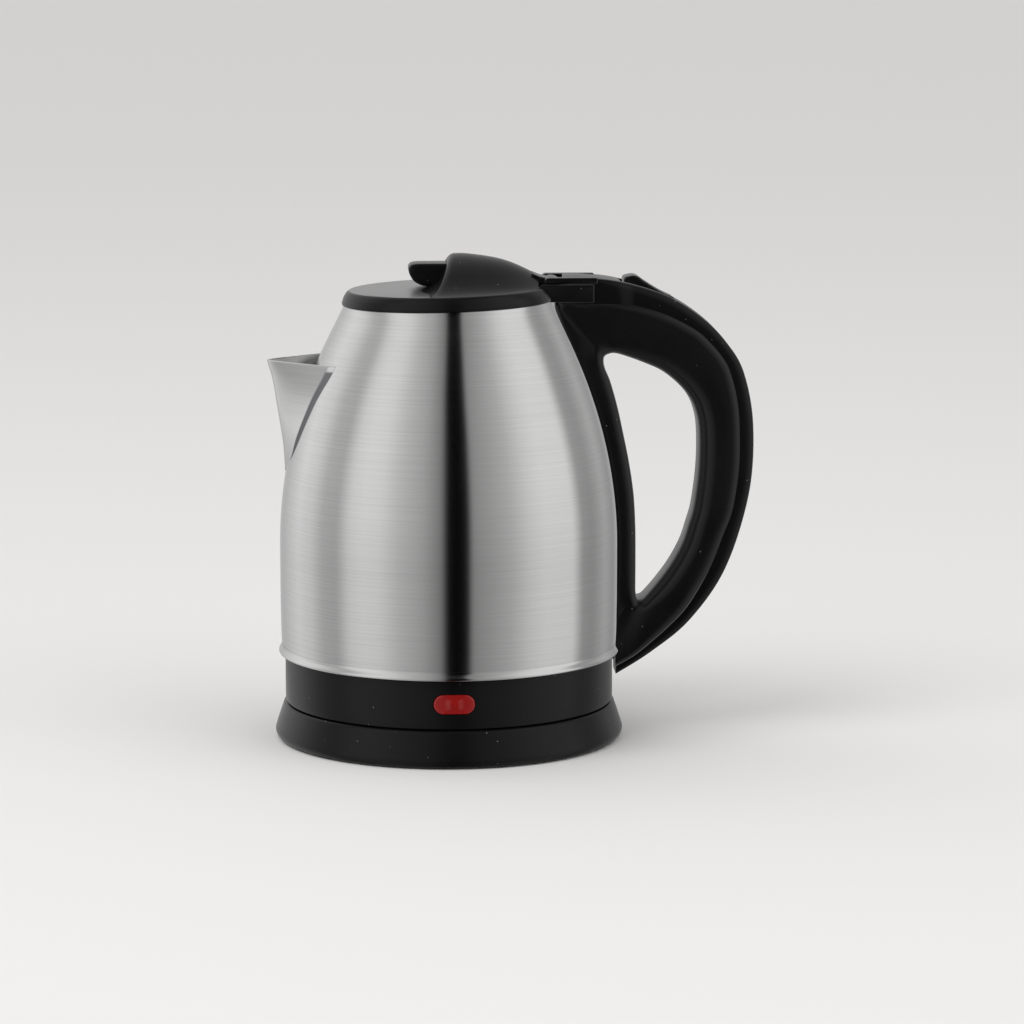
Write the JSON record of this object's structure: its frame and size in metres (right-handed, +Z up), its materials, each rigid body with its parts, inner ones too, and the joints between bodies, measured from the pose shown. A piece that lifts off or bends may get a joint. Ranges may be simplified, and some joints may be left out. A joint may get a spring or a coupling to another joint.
{
  "type": "electric kettle",
  "caption": "Cordless electric kettle: domed brushed steel body with a beak spout, black D-shaped handle, hinged lid with a release tab, power indicator, on a round swivel power base.",
  "frame": {"origin": "on the body's vertical axis, in the plane that the feet and the base's centre hub stand on", "axes": "+Z up along the body's axis, +X from the body towards the handle, -X towards the spout, Y across"},
  "size_m": [0.2215, 0.1599, 0.2218],
  "materials": {
    "black_plastic": "satin moulded black plastic",
    "brushed_steel": "stainless steel brushed round the axis",
    "spring_steel": "bright drawn spring wire",
    "rubber": "matte black rubber and silicone",
    "contact_copper": "copper alloy contact parts",
    "aluminium": "rolled aluminium",
    "zinc_screw": "zinc plated screw",
    "white_plastic": "off-white engineering plastic",
    "red_lens": "translucent red lens",
    "neon_glass": "clear lamp glass"
  },
  "bodies": {
    "power_base": {"base_upper_shell": "black_plastic", "base_bottom_plate": "black_plastic", "base_connector": "white_plastic", "base_live_contact": "contact_copper", "base_neutral_contact": "contact_copper", "base_earth_contact": "contact_copper", "cord_gland": "rubber", "cord_clamp": "black_plastic", "foot_1": "rubber", "foot_2": "rubber", "foot_3": "rubber", "foot_4": "rubber", "base_screw_1": "zinc_screw", "base_screw_2": "zinc_screw", "base_screw_3": "zinc_screw"},
    "contact_pin": {"live_pin": "contact_copper"},
    "kettle": {"lower_skirt": "black_plastic", "skirt_base_plate": "black_plastic", "handle_shell": "black_plastic", "handle_back_cover": "black_plastic", "body_shell": "brushed_steel", "spout": "brushed_steel", "body_floor": "brushed_steel", "hinge_pin": "brushed_steel", "rocker_pin": "brushed_steel", "lid_spring": "spring_steel", "steam_tube": "rubber", "wire_loom": "rubber", "neutral_ring": "contact_copper", "earth_ring": "contact_copper", "bimetal_disc_1": "contact_copper", "bimetal_disc_2": "contact_copper", "steam_bimetal": "contact_copper", "heat_spreader": "aluminium", "heating_element": "aluminium", "skirt_screw_1": "zinc_screw", "skirt_screw_2": "zinc_screw", "skirt_screw_3": "zinc_screw", "handle_screw_1": "zinc_screw", "handle_screw_2": "zinc_screw", "kettle_connector": "white_plastic", "control_unit": "white_plastic", "lamp_holder": "white_plastic", "steam_switch": "white_plastic", "lamp_lens": "red_lens", "neon_lamp": "neon_glass"},
    "lid": {"lid_shell": "black_plastic", "lid_inlay": "brushed_steel", "lid_inner_cover": "black_plastic", "lid_screw_1": "zinc_screw", "lid_screw_2": "zinc_screw", "lid_screw_3": "zinc_screw"},
    "latch": {"lid_release_tab": "black_plastic", "latch_bolt": "white_plastic", "latch_spring": "spring_steel"},
    "rocker": {"switch_rocker": "black_plastic"}
  },
  "joints": [
    {"name": "kettle_lift", "type": "slide", "parent": "power_base", "child": "contact_pin", "axis": [0, 0, 1], "range_m": [0, 0.1]},
    {"name": "kettle_swivel", "type": "hinge", "parent": "contact_pin", "child": "kettle", "pos_m": [0, 0, 0.02], "axis": [0, 0, 1], "continuous": true},
    {"name": "lid_hinge", "type": "hinge", "parent": "kettle", "child": "lid", "pos_m": [0.047, 0, 0.2064], "axis": [0, 1, 0], "range_deg": [0, 75]},
    {"name": "latch_slide", "type": "slide", "parent": "lid", "child": "latch", "axis": [1, 0, 0], "range_m": [0, 0.004], "stiffness_N_per_m": 300, "deforming": ["latch_spring"]},
    {"name": "rocker_tilt", "type": "hinge", "parent": "kettle", "child": "rocker", "pos_m": [0.091, 0, 0.203], "axis": [0, 1, 0], "range_deg": [-7, 0]}
  ]
}
